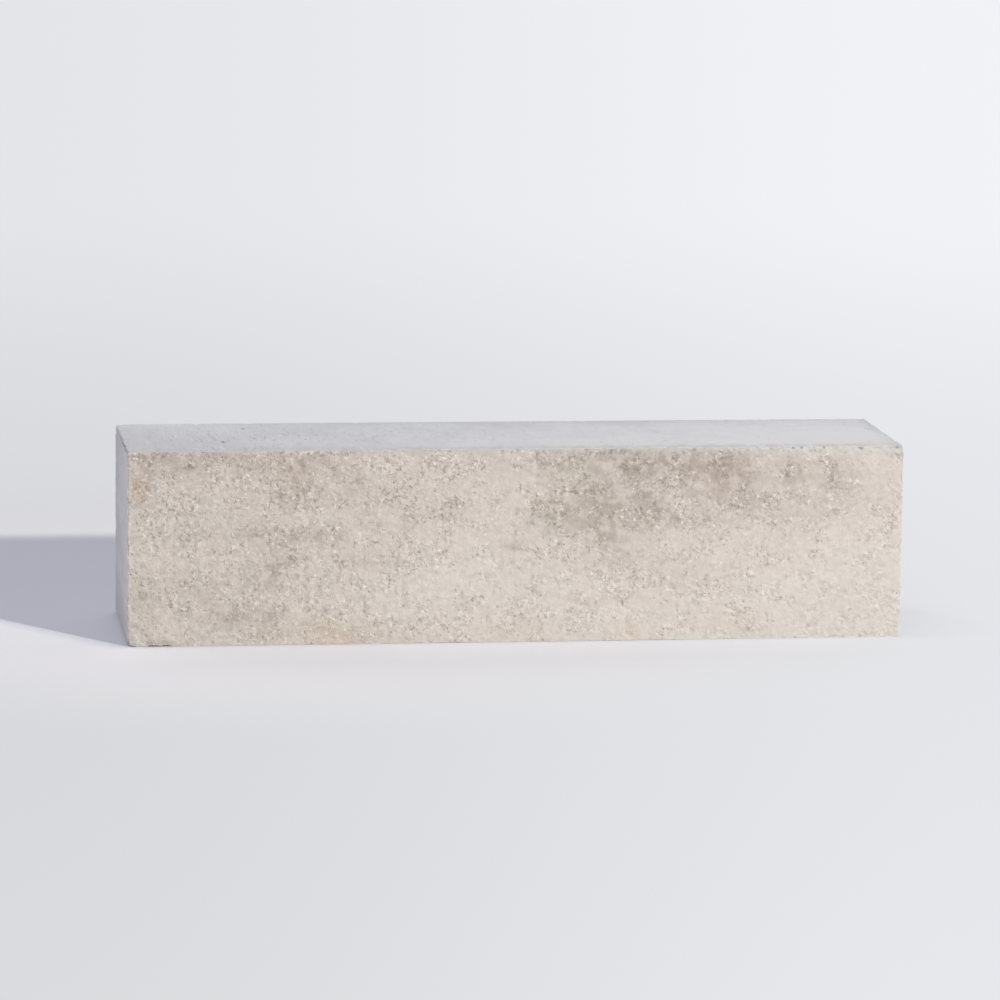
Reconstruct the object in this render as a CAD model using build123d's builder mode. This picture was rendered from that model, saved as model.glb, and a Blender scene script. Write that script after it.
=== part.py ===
from build123d import *
import os

# A concrete stacking block for low garden walls, cast as one plain rectangular piece.
# +X runs along the length, -Y is the grainy face that shows in the wall, and +Z is up.
# The origin is at the middle of the bottom bed.

# Driving dimensions, in millimetres
block_length = 600
block_height = 150
block_depth = 150

# The mould's corners round the four edges that run from the face to the back.
# The lower pair is rounder than the upper pair.
lower_corner_radius = 3
upper_corner_radius = 1

# Rounded arris around the face, and the tighter one around the back
face_arris_radius = 1.5
back_arris_radius = 1

os.makedirs("parts", exist_ok=True)

# The block's outline is drawn at the back, as it shows in the wall, with its lower edge
# on the bottom bed, and is carried forward through the block's depth.
with BuildPart() as wall_block:
    with BuildSketch(Plane.XZ.offset(-block_depth / 2)) as outline:
        with Locations((0, block_height / 2)):
            Rectangle(block_length, block_height)
        fillet(outline.vertices().group_by(Axis.Y)[0], radius=lower_corner_radius)
        fillet(outline.vertices().group_by(Axis.Y)[-1], radius=upper_corner_radius)
    extrude(amount=block_depth)

    # The arrises are eased last, so that each one runs round the mould's corners
    grainy_face = wall_block.faces().sort_by(Axis.Y)[0]
    plain_back = wall_block.faces().sort_by(Axis.Y)[-1]
    fillet(grainy_face.edges(), radius=face_arris_radius)
    fillet(plain_back.edges(), radius=back_arris_radius)

wall_block.part.label = "wall_block"
export_step(wall_block.part, "parts/wall_block.step")
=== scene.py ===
"""Dresses the stacking wall block: one casting with a grainy beige face and smooth grey sides.

Everything is in metres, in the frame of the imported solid. +X runs along the length, -Y points out
of the grainy face and +Z is up. The block's skin is one closed mesh, worked out with numpy: the
sharp box is rounded at its arrises, and relief and chips then sink into it along its normals.

Among the values of a class, a name that ends in share is a plain factor, and one that ends in range
is a pair between which a pattern rises smoothly from 0 to 1, or falls if the first is the larger.
"""

import logging
import math
from dataclasses import dataclass, field
from enum import Enum, IntEnum
from itertools import product
from typing import Any

import bpy
import numpy as np
from mathutils import Matrix, Vector


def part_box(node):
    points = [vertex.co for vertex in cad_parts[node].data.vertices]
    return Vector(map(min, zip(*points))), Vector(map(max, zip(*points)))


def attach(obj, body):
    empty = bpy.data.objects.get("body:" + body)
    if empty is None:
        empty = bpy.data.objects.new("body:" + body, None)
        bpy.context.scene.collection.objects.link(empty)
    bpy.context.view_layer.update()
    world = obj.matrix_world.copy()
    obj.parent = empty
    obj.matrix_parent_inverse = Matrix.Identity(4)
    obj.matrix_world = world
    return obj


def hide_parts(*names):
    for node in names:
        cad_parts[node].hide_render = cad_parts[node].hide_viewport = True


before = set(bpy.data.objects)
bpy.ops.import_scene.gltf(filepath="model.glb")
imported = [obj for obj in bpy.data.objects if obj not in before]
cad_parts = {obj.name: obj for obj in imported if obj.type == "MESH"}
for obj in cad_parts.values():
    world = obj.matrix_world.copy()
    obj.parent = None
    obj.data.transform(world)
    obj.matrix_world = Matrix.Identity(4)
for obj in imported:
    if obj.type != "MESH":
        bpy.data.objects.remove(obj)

LOG = logging.getLogger("wall_block")
NODE = "wall_block"
BODY = "root"
MM = 0.001

Colour = tuple[float, float, float]
Triple = tuple[float, float, float]
Pair = tuple[float, float]


def srgb(red: float, green: float, blue: float) -> Colour:
    """Turns a colour from screen values of 0 to 255 into the linear values that a shader takes."""
    shares = np.array([red, green, blue]) / 255
    linear = np.where(shares <= 0.04045, shares / 12.92, ((shares + 0.055) / 1.055) ** 2.4)
    return tuple(float(value) for value in linear)


def smooth_between(low: float, high: float, values: np.ndarray) -> np.ndarray:
    """Rises from 0 at low to 1 at high along the curve 3 t squared minus 2 t cubed."""
    share = np.clip((values - low) / (high - low), 0, 1)
    return share * share * (3 - 2 * share)


class Seed(IntEnum):
    """Seeds of the block's noise and random draws. A bend also takes the seeds that follow its own."""

    FACE_SWELL = 11
    FACE_LUMPS = 12
    SAND = 13
    SAND_HOLES = 14
    SAND_BEND = 15
    SIDE_SWELL = 21
    SIDE_WAVES = 22
    AIR_HOLES = 23
    CHIPS = 31
    RAGGED_ARRIS = 32
    CHIP_BEND = 33
    CLOUD_BEND = 41
    FACE_BORDER = 51
    RIM_BORDER = 52


@dataclass(frozen=True)
class SolidNoise:
    """Seeded noise that fills space, so that a pattern runs on round every arris of the block."""

    seed: int
    seed_step: int = 9176
    channel_step: int = 26699
    layer_step: int = 17
    axis_steps: tuple[int, int, int] = (374761393, 668265263, 2246822519)
    folds: tuple[tuple[int, int], ...] = ((13, 1274126177), (15, 2654435761))
    last_fold: int = 16

    def lattice(self, cells: np.ndarray, channel: int = 0) -> np.ndarray:
        """Gives each cell of a whole-number grid its own random number.

        The cell's three numbers are multiplied by large odd numbers and added, and the bits of the
        sum are then folded over and multiplied twice.

        Args:
            cells: Whole-number cell places, one row of three for each point.
            channel: Picks one of several independent numbers for the same cell.

        Returns:
            One number from 0 to 1 for each cell.
        """
        x, y, z = np.moveaxis(cells.astype(np.int64).astype(np.uint32), -1, 0)
        step_x, step_y, step_z = (np.uint32(step) for step in self.axis_steps)
        start = np.uint32((self.seed * self.seed_step + channel * self.channel_step + 1) % 2**32)
        mixed = x * step_x + y * step_y + z * step_z + start
        for bits, factor in self.folds:
            mixed = (mixed ^ (mixed >> np.uint32(bits))) * np.uint32(factor)
        return (mixed ^ (mixed >> np.uint32(self.last_fold))) / 2**32

    def soft(self, points: np.ndarray, size: float) -> np.ndarray:
        """Blends the random numbers of a cell's eight corners by a smooth curve along each axis.

        Args:
            points: Places, one row of three for each point.
            size: Side of a cell.

        Returns:
            Smooth noise from 0 to 1, one number for each point.
        """
        base = np.floor(points / size)
        blend = smooth_between(0, 1, points / size - base)
        total = np.zeros(len(points))
        for corner in product((0, 1), repeat=3):
            weight = np.where(corner, blend, 1 - blend).prod(axis=-1)
            total += weight * self.lattice(base + np.array(corner))
        return total

    def layered(self, points: np.ndarray, size: float, layers: int = 2) -> np.ndarray:
        """Adds soft noise at cell sizes that halve, each with half the weight of the one before.

        Args:
            points: Places, one row of three for each point.
            size: Side of the largest cell.
            layers: Number of sizes added.

        Returns:
            Noise from 0 to 1, one number for each point.
        """
        shares = 0.5 ** np.arange(layers)
        total = sum(
            share * SolidNoise(self.seed + self.layer_step * layer).soft(points, size * 0.5**layer)
            for layer, share in enumerate(shares)
        )
        return total / shares.sum()

    def bends(self, points: np.ndarray, size: float, axes: int, layers: int = 2) -> list[np.ndarray]:
        """Layered noise from -0.5 to 0.5 for each of several axes, with a seed of its own."""
        return [SolidNoise(self.seed + axis).layered(points, size, layers) - 0.5 for axis in range(axes)]

    def grains(self, points: np.ndarray, size: float) -> tuple[np.ndarray, np.ndarray]:
        """Finds the nearest of the grains that lie at one random place in each cell.

        Args:
            points: Places, one row of three for each point.
            size: Side of a cell.

        Returns:
            The distance to the nearest grain's middle, in cell sides, and that grain's own random
            number from 0 to 1.
        """
        base = np.floor(points / size)
        nearest = np.full(len(points), np.inf)
        own = np.zeros(len(points))
        for step in product((-1, 0, 1), repeat=3):
            cell = base + np.array(step)
            middle = cell + np.stack([self.lattice(cell, channel) for channel in range(3)], axis=-1)
            distance = np.linalg.norm(middle - points / size, axis=-1)
            own = np.where(distance < nearest, self.lattice(cell, 3), own)
            nearest = np.minimum(nearest, distance)
        return nearest, own


class Panel(Enum):
    """The block's six sides, each with the axes that its flat map follows and its place on the map.

    The value holds the axis that runs across, the axis that runs up, and the map's left, bottom,
    right and top.
    """

    FACE = (0, 2, (0.002, 0.662, 0.998, 0.998))
    TOP = (0, 1, (0.002, 0.447, 0.998, 0.655))
    BACK = (0, 2, (0.002, 0.302, 0.998, 0.440))
    BOTTOM = (0, 1, (0.002, 0.157, 0.998, 0.295))
    LEFT = (1, 2, (0.002, 0.002, 0.496, 0.150))
    RIGHT = (1, 2, (0.504, 0.002, 0.998, 0.150))

    def flat(self, shares: np.ndarray) -> np.ndarray:
        """Lays places, given as shares of the block's box, on this side's part of the flat map."""
        across, up, (left, bottom, right, top) = self.value
        across_map = left + (right - left) * shares[:, across]
        up_map = bottom + (top - bottom) * shares[:, up]
        return np.stack([across_map, up_map], axis=-1)


@dataclass(frozen=True)
class Patch:
    """Faces on one side of the block, as rows of three or four vertex numbers."""

    panel: Panel
    faces: np.ndarray


@dataclass(frozen=True)
class Skin:
    """The block's skin before its relief, on the sharp box and rounded, with its normals and faces."""

    sharp: np.ndarray
    points: np.ndarray
    normals: np.ndarray
    patches: tuple[Patch, ...]


@dataclass(frozen=True)
class BlockForm:
    """The rounded box, with a fine net on the face and a net half as fine on the other sides.

    The face is a grid. Its border is carried backwards as a closed outline, first in fine rows and
    then, past one row of triangles, in rows with every second point, and a coarser grid ends it.
    """

    low: np.ndarray
    high: np.ndarray
    lower_left_corner: float = 3.4 * MM
    lower_right_corner: float = 2.2 * MM
    upper_corner: float = 0.8 * MM
    upper_left_at_face: float = 2.6 * MM
    upper_right_at_face: float = 1.2 * MM
    corner_change: float = 7.0 * MM
    left_arris: float = 1.4 * MM
    right_arris: float = 1.0 * MM
    top_arris: float = 1.6 * MM
    bottom_arris: float = 0.25 * MM
    back_arris: float = 1.0 * MM
    edge_lines: tuple[float, ...] = (0.0, 0.35 * MM, 0.75 * MM, 1.2 * MM, 1.8 * MM, 2.5 * MM, 3.4 * MM)
    face_columns: int = 420
    face_rows: int = 100
    band_depth: float = 4.2 * MM
    band_rows: int = 3
    side_rows: int = 48

    def lines(self, axis: int, inner: int) -> np.ndarray:
        """Places of the net's lines along one axis: close at the two edges and even between them."""
        near = self.low[axis] + np.array(self.edge_lines)
        far = self.high[axis] - np.array(self.edge_lines)[::-1]
        return np.concatenate([near, np.linspace(near[-1], far[0], inner + 1)[1:-1], far])

    def depth_lines(self) -> tuple[np.ndarray, np.ndarray]:
        """Places of the rows behind the face: the fine ones, and the coarse ones up to the back."""
        edge = np.array(self.edge_lines)
        band = np.linspace(edge[-1], edge[-1] + self.band_depth, self.band_rows + 1)[1:]
        fine = self.low[1] + np.concatenate([edge[1:], band])
        far = self.high[1] - edge[::-2]
        coarse = np.linspace(fine[-1], far[0], self.side_rows + 1)[1:-1]
        return fine, np.concatenate([coarse, far])

    def corner_radius(self, sharp: np.ndarray) -> np.ndarray:
        """Radius of the nearest of the outline's corners, whose upper pair sharpens behind the face."""
        leftward, downward = (sharp < (self.low + self.high) / 2)[:, ::2].T
        back = smooth_between(0, self.corner_change, sharp[:, 1] - self.low[1])
        at_face = np.where(leftward, self.upper_left_at_face, self.upper_right_at_face)
        upper = at_face + (self.upper_corner - at_face) * back
        return np.where(downward, np.where(leftward, self.lower_left_corner, self.lower_right_corner), upper)

    def rounded(self, sharp: np.ndarray) -> tuple[np.ndarray, np.ndarray]:
        """Rounds places on the sharp box.

        Across the block, a square corner region is drawn in to a quarter circle: its offset from
        the region's inner corner keeps its direction and gets the length of its larger part. Along
        the depth, an arris is rounded in the plane of two distances, one from the outline and one
        from the face or back: both become the radius times 1 less the cosine or sine of the
        direction from the arris's core.

        Args:
            sharp: Places on the sharp box.

        Returns:
            The rounded places and their normals.
        """
        middle = (self.low + self.high) / 2
        corner = self.corner_radius(sharp)[:, None]
        flat, low, high = sharp[:, ::2], self.low[::2], self.high[::2]
        inner = np.clip(flat, low + corner, high - corner)
        offset = flat - inner
        length = np.linalg.norm(offset, axis=-1, keepdims=True)
        outward = np.divide(offset, length, out=np.zeros_like(offset), where=length > 0)
        nearest_side = np.minimum(flat - low, high - flat).min(axis=-1)
        inside = np.where(length[:, 0] > 0, corner[:, 0] - np.abs(offset).max(axis=-1), nearest_side)

        in_front = sharp[:, 1] < middle[1]
        bed_arris = np.where(sharp[:, 2] < middle[2], self.bottom_arris, self.top_arris)
        end_arris = np.where(sharp[:, 0] < middle[0], self.left_arris, self.right_arris)
        face_arris = bed_arris + (end_arris - bed_arris) * outward[:, 0] ** 2
        radius = np.where(in_front, face_arris, self.back_arris)
        behind = np.minimum(sharp[:, 1] - self.low[1], self.high[1] - sharp[:, 1])
        to_side = np.clip(radius - inside, 0, None)
        to_face = np.clip(radius - behind, 0, None)
        reach = np.hypot(to_side, to_face)
        inset = np.where(inside < radius, radius - radius * to_side / reach, inside)
        sunk = np.where(behind < radius, radius - radius * to_face / reach, behind)
        places = inner + outward * (corner - np.where(length[:, 0] > 0, inset, 0)[:, None])
        depth = np.where(in_front, self.low[1] + sunk, self.high[1] - sunk)
        forward = np.where(in_front, -1, 1) * to_face / reach
        sideways = outward * (to_side / reach)[:, None]
        points = np.stack([places[:, 0], depth, places[:, 1]], axis=-1)
        return points, np.stack([sideways[:, 0], forward, sideways[:, 1]], axis=-1)

    @staticmethod
    def border(net: np.ndarray) -> np.ndarray:
        """Walks round a grid's border, along the bottom, up the right, back along the top and down.

        Args:
            net: Vertex numbers, or places, by column and row.

        Returns:
            The border's entries in order, each of them once.
        """
        return np.concatenate([net[:-1, 0], net[-1, :-1], net[:0:-1, -1], net[0, :0:-1]])

    @staticmethod
    def cells(net: np.ndarray) -> np.ndarray:
        """Four-cornered faces between a grid's neighbours. A transposed grid faces the other way."""
        corners = [net[:-1, :-1], net[1:, :-1], net[1:, 1:], net[:-1, 1:]]
        return np.stack(corners, axis=-1).reshape(-1, 4)

    @staticmethod
    def squares(first: np.ndarray, second: np.ndarray) -> np.ndarray:
        """Four-cornered faces between two closed rows of as many points, the second row behind."""
        return np.stack([first, second, np.roll(second, -1), np.roll(first, -1)], axis=-1)

    @staticmethod
    def halving(first: np.ndarray, second: np.ndarray) -> np.ndarray:
        """Three triangles for each step of a closed row with half as many points as the one before."""
        start, middle, end = first[::2], first[1::2], np.roll(first[::2], -1)
        following = np.roll(second, -1)
        fan = [(start, second, middle), (middle, second, following), (middle, following, end)]
        return np.stack([np.stack(corners, axis=-1) for corners in fan], axis=1)

    @staticmethod
    def sides(steps: int, columns: int, rows: int) -> list[tuple[Panel, slice]]:
        """Shares a closed outline's steps out among the sides in the order of the border's walk."""
        ends = np.cumsum([0, columns, rows, columns, rows]) * steps // (2 * (columns + rows))
        panels = (Panel.BOTTOM, Panel.RIGHT, Panel.TOP, Panel.LEFT)
        return [(panel, slice(ends[turn], ends[turn + 1])) for turn, panel in enumerate(panels)]

    @staticmethod
    def grid(across: np.ndarray, depth: float, up: np.ndarray) -> np.ndarray:
        """Places of a flat grid at one depth, by column and row."""
        return np.stack(np.broadcast_arrays(across[:, None], depth, up[None, :]), axis=-1)

    @staticmethod
    def carried(outline: np.ndarray, depths: np.ndarray) -> np.ndarray:
        """Copies of an outline at each of the depths, by row and step."""
        copies = np.repeat(outline[None], len(depths), axis=0)
        copies[..., 1] = depths[:, None]
        return copies

    def skin(self) -> Skin:
        """Builds the closed skin of the block, with its faces pointing outwards."""
        across = self.lines(0, self.face_columns)
        up = self.lines(2, self.face_rows)
        fine_depths, coarse_depths = self.depth_lines()
        columns, rows = len(across) - 1, len(up) - 1

        face = self.grid(across, self.low[1], up)
        back = self.grid(across[::2], self.high[1], up[::2])
        fine = self.carried(self.border(face), fine_depths)
        coarse = self.carried(self.border(back), coarse_depths[:-1])
        pieces = (face, fine, coarse, back)
        firsts = np.cumsum([0] + [piece[..., 0].size for piece in pieces])
        face_net, fine_net, coarse_net, back_net = (
            np.arange(first, first + piece[..., 0].size).reshape(piece.shape[:2])
            for first, piece in zip(firsts, pieces)
        )
        fine_net = np.concatenate([self.border(face_net)[None], fine_net])
        coarse_net = np.concatenate([coarse_net, self.border(back_net)[None]])

        patches = [Patch(Panel.FACE, self.cells(face_net)), Patch(Panel.BACK, self.cells(back_net.T))]
        for net in (fine_net, coarse_net):
            quads = np.stack([self.squares(*pair) for pair in zip(net[:-1], net[1:])])
            for panel, steps in self.sides(net.shape[1], columns, rows):
                patches.append(Patch(panel, quads[:, steps].reshape(-1, 4)))
        fans = self.halving(fine_net[-1], coarse_net[0])
        for panel, steps in self.sides(len(fans), columns, rows):
            patches.append(Patch(panel, fans[steps].reshape(-1, 3)))

        sharp = np.concatenate([piece.reshape(-1, 3) for piece in pieces])
        return Skin(sharp, *self.rounded(sharp), tuple(patches))


@dataclass(frozen=True)
class FaceRelief:
    """Relief of the face: coarse sand standing out of its bed, with small holes where grains fell out."""

    swell_size: float = 55 * MM
    swell_depth: float = 0.25 * MM
    lump_size: float = 8 * MM
    lump_layers: int = 3
    lump_depth: float = 0.35 * MM
    bend_size: float = 5 * MM
    bend: float = 2.4 * MM
    grain_size: float = 3.4 * MM
    grain_depth: float = 0.38 * MM
    dome_share: float = 0.55
    own_share: float = 0.45
    hole_size: float = 7 * MM
    hole_depth: float = 0.5 * MM
    hole_reach_share: float = 0.30
    hole_share: float = 0.35

    def depth(self, points: np.ndarray) -> np.ndarray:
        """How far the face lies under its flat plane.

        Swell and lumps are layered noise. Grains and holes lie in a space that noise bends. A grain
        is a dome: its depth grows with the squared distance from the grain's middle, and a grain
        also stands higher or lower by its own number. A hole is a bowl round the middle of some of
        the larger cells.

        Args:
            points: Places on the skin.

        Returns:
            The depth at each point, never under zero.
        """
        swell = SolidNoise(Seed.FACE_SWELL).layered(points, self.swell_size)
        lumps = SolidNoise(Seed.FACE_LUMPS).layered(points, self.lump_size, self.lump_layers)
        turns = SolidNoise(Seed.SAND_BEND).bends(points, self.bend_size, axes=3)
        bent = points + self.bend * np.stack(turns, axis=-1)
        distance, own = SolidNoise(Seed.SAND).grains(bent, self.grain_size)
        domes = self.dome_share * np.clip(distance, 0, 1) ** 2 + self.own_share * own
        reach, lost = SolidNoise(Seed.SAND_HOLES).grains(bent, self.hole_size)
        bowls = np.clip(1 - (reach / self.hole_reach_share) ** 2, 0, 1) * (lost < self.hole_share)
        flowing = self.swell_depth * swell + self.lump_depth * lumps
        return flowing + self.grain_depth * domes + self.hole_depth * bowls


@dataclass(frozen=True)
class SideRelief:
    """Relief of the other sides: nearly flat from the mould, with shallow waves and a few air holes."""

    swell_size: float = 70 * MM
    swell_depth: float = 0.12 * MM
    wave_size: float = 14 * MM
    wave_layers: int = 3
    wave_depth: float = 0.10 * MM
    hole_size: float = 26 * MM
    hole_depth: float = 0.6 * MM
    hole_reach_share: float = 0.13
    hole_share: float = 0.35

    def depth(self, points: np.ndarray) -> np.ndarray:
        """How far a smooth side lies under its flat plane: two layers of noise and small bowls."""
        swell = SolidNoise(Seed.SIDE_SWELL).layered(points, self.swell_size)
        waves = SolidNoise(Seed.SIDE_WAVES).layered(points, self.wave_size, self.wave_layers)
        reach, own = SolidNoise(Seed.AIR_HOLES).grains(points, self.hole_size)
        bowls = np.clip(1 - (reach / self.hole_reach_share) ** 2, 0, 1) * (own < self.hole_share)
        return self.swell_depth * swell + self.wave_depth * waves + self.hole_depth * bowls


@dataclass(frozen=True)
class Chip:
    """One chip out of an arris or the top bed, placed by shares of the block's box along X, Y and Z."""

    place: Triple
    reach: float
    depth: float


def placed_chips(*rows: tuple[float, ...]) -> tuple[Chip, ...]:
    """Makes chips from rows of three shares of the block's box, a reach and a depth in millimetres."""
    return tuple(Chip((x, y, z), reach * MM, depth * MM) for x, y, z, reach, depth in rows)


@dataclass(frozen=True)
class ArrisWear:
    """Wear of the arrises: small random chips along all twelve, and some that are placed one by one."""

    spacing: float = 12 * MM
    least_reach: float = 1.0 * MM
    most_reach: float = 4.0 * MM
    rarity: int = 3
    depth_share: float = 0.3
    least_depth_share: float = 0.6
    random_depth_share: float = 0.8
    ragged_size: float = 2.6 * MM
    ragged_depth: float = 0.4 * MM
    bend_size: float = 4.0 * MM
    bend: float = 3.0 * MM
    bottom_spared: float = 4.0 * MM
    placed: tuple[Chip, ...] = placed_chips(
        # The face's top arris
        (0.855, 0.0, 1.0, 2.4, 0.9), (0.866, 0.0, 1.0, 2.2, 0.8), (0.942, 0.0, 1.0, 3.4, 1.4),
        (0.991, 0.0, 1.0, 2.2, 1.0),
        # The left end's top arris, three corners, and the right end's top arris
        (0.0, 0.20, 1.0, 6.0, 0.7), (0.0, 0.47, 1.0, 7.0, 0.9), (0.0, 0.78, 1.0, 6.0, 0.7),
        (0.0, 1.0, 1.0, 8.0, 1.2), (0.0, 0.0, 0.0, 8.0, 1.0), (1.0, 0.0, 1.0, 6.0, 1.2),
        (1.0, 0.22, 1.0, 12.0, 0.3), (1.0, 0.52, 1.0, 14.0, 0.5), (1.0, 0.80, 1.0, 12.0, 0.3),
        # The face's bottom arris
        (0.034, 0.0, 0.0, 6.0, 0.9), (0.050, 0.0, 0.0, 6.0, 0.9), (0.863, 0.0, 0.0, 2.4, 0.6),
        (0.925, 0.0, 0.0, 3.0, 0.6), (0.949, 0.0, 0.0, 2.4, 0.6),
        # The top bed, and the upright arris between the left end and the back
        (0.165, 0.84, 1.0, 4.0, 0.9), (0.300, 0.55, 1.0, 3.2, 0.6), (0.0, 1.0, 0.47, 4.0, 0.8),
        (0.0, 1.0, 0.82, 3.0, 0.6),
    )

    def chips(self, low: np.ndarray, high: np.ndarray) -> list[Chip]:
        """Draws random chips along each arris, as many as its length holds, and adds the placed ones.

        Args:
            low: The block's lowest corner.
            high: The block's highest corner.

        Returns:
            All chips, with small ones far more common than large ones.
        """
        random = np.random.default_rng(Seed.CHIPS)
        drawn = []
        for axis, ends in product(range(3), product((0.0, 1.0), repeat=2)):
            count = int((high[axis] - low[axis]) / self.spacing)
            along = random.random(count)
            larger = random.random(count) ** self.rarity
            reaches = self.least_reach + (self.most_reach - self.least_reach) * larger
            varied = self.least_depth_share + self.random_depth_share * random.random(count)
            depths = self.depth_share * reaches * varied
            for share, reach, depth in zip(along, reaches, depths):
                place = list(ends)
                place.insert(axis, share)
                drawn.append(Chip(tuple(place), reach, depth))
        return [*self.placed, *(chip for chip in drawn if not self.spared(chip))]

    @staticmethod
    def spared(chip: Chip) -> bool:
        """Tells whether a chip lies on the face's bottom arris or its left one, which stay whole."""
        across, back, up = chip.place
        return back == 0 and 0 in (across, up)

    def depth(self, skin: Skin, low: np.ndarray, high: np.ndarray) -> tuple[np.ndarray, np.ndarray]:
        """How far the arrises are worn.

        An arris is where a normal leaves the axes: its share is the square root of twice the amount
        by which the normal's largest squared part falls short of one, up to one half. Noise makes
        the arris ragged in that share. A chip is a bowl round its place, cut in a space that noise
        bends, and the deepest chip at a point counts.

        Args:
            skin: The skin before its relief.
            low: The block's lowest corner.
            high: The block's highest corner.

        Returns:
            The wear at each point, and the part of it that is chips.
        """
        turned = np.sqrt(np.clip(1 - (skin.normals**2).max(axis=-1), 0, 0.5) * 2)
        roughness = SolidNoise(Seed.RAGGED_ARRIS).layered(skin.points, self.ragged_size)
        above = smooth_between(0, self.bottom_spared, skin.points[:, 2] - low[2])
        turns = SolidNoise(Seed.CHIP_BEND).bends(skin.points, self.bend_size, axes=3)
        bent = skin.points + self.bend * np.stack(turns, axis=-1)
        chipped = np.zeros(len(bent))
        for chip in self.chips(low, high):
            place = low + np.array(chip.place) * (high - low)
            near = np.abs(bent - place).max(axis=-1) < chip.reach
            share = np.linalg.norm(bent[near] - place, axis=-1) / chip.reach
            chipped[near] = np.maximum(chipped[near], chip.depth * np.clip(1 - share**2, 0, 1))
        return self.ragged_depth * turned * roughness * above + chipped, chipped


@dataclass(frozen=True)
class Cloud:
    """A soft patch on one side, placed by shares of the way across and up it, with its half sizes."""

    across: float
    up: float
    wide: float
    tall: float
    strength: float


def placed_clouds(*rows: tuple[float, ...]) -> tuple[Cloud, ...]:
    """Makes clouds from rows of two shares of a side, two half sizes in millimetres and a strength."""
    return tuple(Cloud(x, y, wide * MM, tall * MM, strength) for x, y, wide, tall, strength in rows)


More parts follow.
